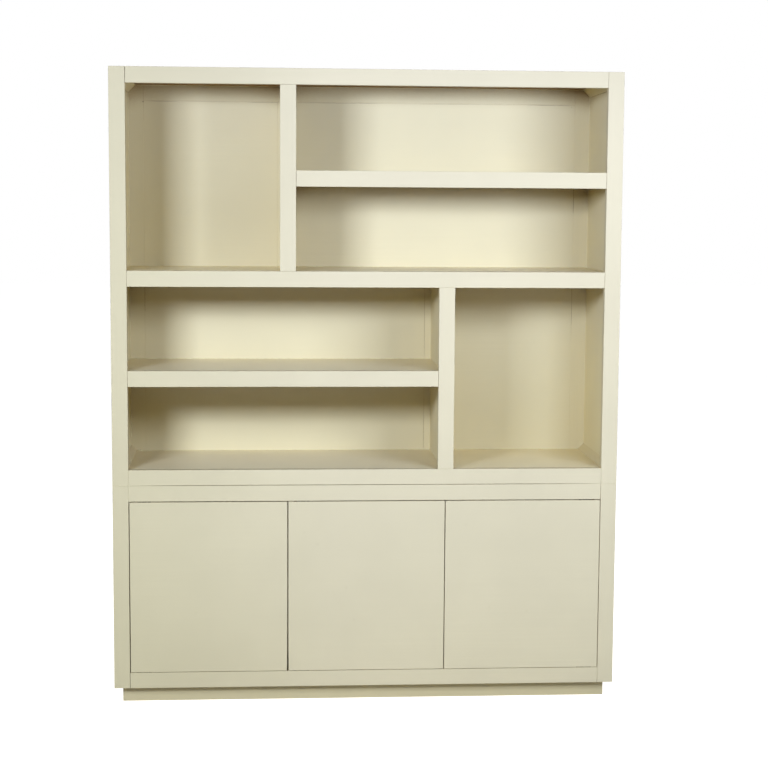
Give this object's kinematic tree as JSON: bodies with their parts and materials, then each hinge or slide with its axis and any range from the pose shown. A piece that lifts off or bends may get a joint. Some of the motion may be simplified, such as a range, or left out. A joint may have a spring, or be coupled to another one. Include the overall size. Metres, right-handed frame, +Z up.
{
  "type": "bookcase with cabinet doors",
  "caption": "Two-part bookcase: open upper unit with offset shelves and dividers on a base with three flush push-open doors, standing on a set-back plinth.",
  "frame": {"origin": "middle of the footprint, at floor level", "axes": "+Z up, +X to the right as seen from the front, -Y out of the front, where the doors are"},
  "size_m": [1.6, 0.45, 2],
  "materials": {
    "painted_frame": "satin cream paint over sanded MDF, faint roller and grain marks",
    "painted_doors": "satin cream paint over sanded MDF, faint roller and grain marks",
    "painted_carcass": "satin cream paint, a little warmer than the front",
    "painted_plinth": "satin cream paint",
    "bare_softwood": "planed bare softwood",
    "brass": "satin",
    "steel": "zinc plated",
    "latch_plastic": "fine matt",
    "latch_plunger": "smooth grey"
  },
  "bodies": {
    "carcass": {"back_mullions": "painted_carcass", "back_panels": "painted_carcass", "back_rails": "painted_carcass", "back_stiles": "painted_carcass", "base_back": "painted_carcass", "base_bottom": "painted_carcass", "base_bottom_rail": "painted_frame", "base_partitions": "painted_carcass", "base_shelves": "painted_carcass", "base_side_left": "painted_carcass", "base_side_right": "painted_carcass", "base_stile_left": "painted_frame", "base_stile_right": "painted_frame", "base_top": "painted_carcass", "base_top_rail": "painted_frame", "bottom_cleats": "bare_softwood", "corner_battens": "painted_carcass", "frame_pivots": "brass", "latch_housings": "latch_plastic", "latch_screws": "steel", "lower_divider": "painted_carcass", "lower_divider_stile": "painted_frame", "lower_half_lipping": "painted_frame", "lower_half_shelf": "painted_carcass", "middle_shelf": "painted_carcass", "middle_shelf_lipping": "painted_frame", "pivot_frame_screws": "steel", "plinth_back": "painted_plinth", "plinth_corner_blocks": "bare_softwood", "plinth_front": "painted_plinth", "plinth_sides": "painted_plinth", "shelf_pins": "steel", "unit_screws": "steel", "upper_bottom": "painted_carcass", "upper_bottom_rail": "painted_frame", "upper_divider": "painted_carcass", "upper_divider_stile": "painted_frame", "upper_half_lipping": "painted_frame", "upper_half_shelf": "painted_carcass", "upper_side_left": "painted_carcass", "upper_side_right": "painted_carcass", "upper_stile_left": "painted_frame", "upper_stile_right": "painted_frame", "upper_top": "painted_carcass", "upper_top_rail": "painted_frame"},
    "door_left": {"door_left": "painted_doors", "pivot_leaves_left": "brass", "pivot_screws_left": "steel", "strike_plate_left": "steel"},
    "door_middle": {"door_middle": "painted_doors", "pivot_leaves_middle": "brass", "pivot_screws_middle": "steel", "strike_plate_middle": "steel"},
    "door_right": {"door_right": "painted_doors", "pivot_leaves_right": "brass", "pivot_screws_right": "steel", "strike_plate_right": "steel"},
    "plunger_left": {"latch_plunger_left": "latch_plunger"},
    "plunger_middle": {"latch_plunger_middle": "latch_plunger"},
    "plunger_right": {"latch_plunger_right": "latch_plunger"}
  },
  "joints": [
    {"name": "door_left_swing", "type": "hinge", "parent": "carcass", "child": "door_left", "pos_m": [-0.726, -0.218, 0.375], "axis": [0, 0, -1], "range_deg": [0, 110]},
    {"name": "door_middle_swing", "type": "hinge", "parent": "carcass", "child": "door_middle", "pos_m": [-0.2265, -0.218, 0.375], "axis": [0, 0, -1], "range_deg": [0, 110]},
    {"name": "door_right_swing", "type": "hinge", "parent": "carcass", "child": "door_right", "pos_m": [0.726, -0.218, 0.375], "axis": [0, 0, 1], "range_deg": [0, 110]},
    {"name": "latch_left_push", "type": "slide", "parent": "carcass", "child": "plunger_left", "axis": [0, 1, 0], "range_m": [0, 0.003], "stiffness_N_per_m": 300, "springref_m": -0.004},
    {"name": "latch_middle_push", "type": "slide", "parent": "carcass", "child": "plunger_middle", "axis": [0, 1, 0], "range_m": [0, 0.003], "stiffness_N_per_m": 300, "springref_m": -0.004},
    {"name": "latch_right_push", "type": "slide", "parent": "carcass", "child": "plunger_right", "axis": [0, 1, 0], "range_m": [0, 0.003], "stiffness_N_per_m": 300, "springref_m": -0.004}
  ]
}
